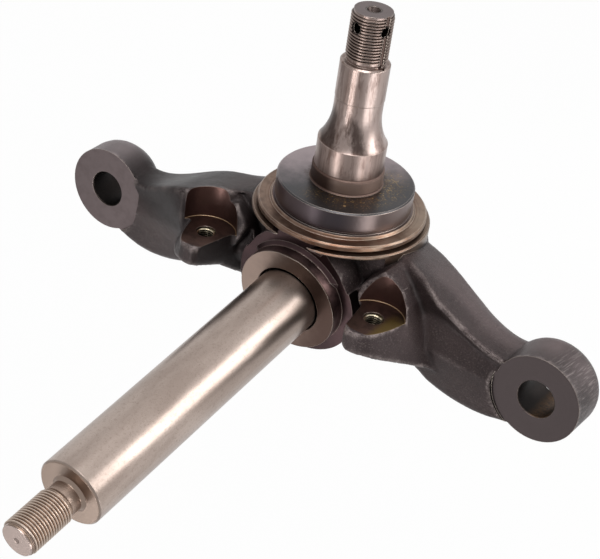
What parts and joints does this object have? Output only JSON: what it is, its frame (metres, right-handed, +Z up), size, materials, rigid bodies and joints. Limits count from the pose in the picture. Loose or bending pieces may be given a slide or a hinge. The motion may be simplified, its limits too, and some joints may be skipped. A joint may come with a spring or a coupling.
{
  "type": "steering knuckle",
  "caption": "Forged steering knuckle: a wheel spindle with stepped bearing seats, a king pin pressed through its hub, steering arms with bored eyes and tapped stop lugs.",
  "frame": {"origin": "where the king pin axis crosses the wheel spindle axis, in the middle of the hub", "axes": "+Y out along the wheel spindle, +X along the steering arms, +Z up and parallel to the eye bores; the king pin leans 9 degrees inboard, along (0, -0.1564, 0.9877)"},
  "size_m": [0.4018, 0.2433, 0.364],
  "materials": {
    "forging_steel": "black phosphated forging with turned and ground seats",
    "ground_steel": "ground and hardened bright steel"
  },
  "bodies": {
    "root": {"knuckle_forging": "forging_steel", "king_pin": "ground_steel"}
  },
  "joints": []
}
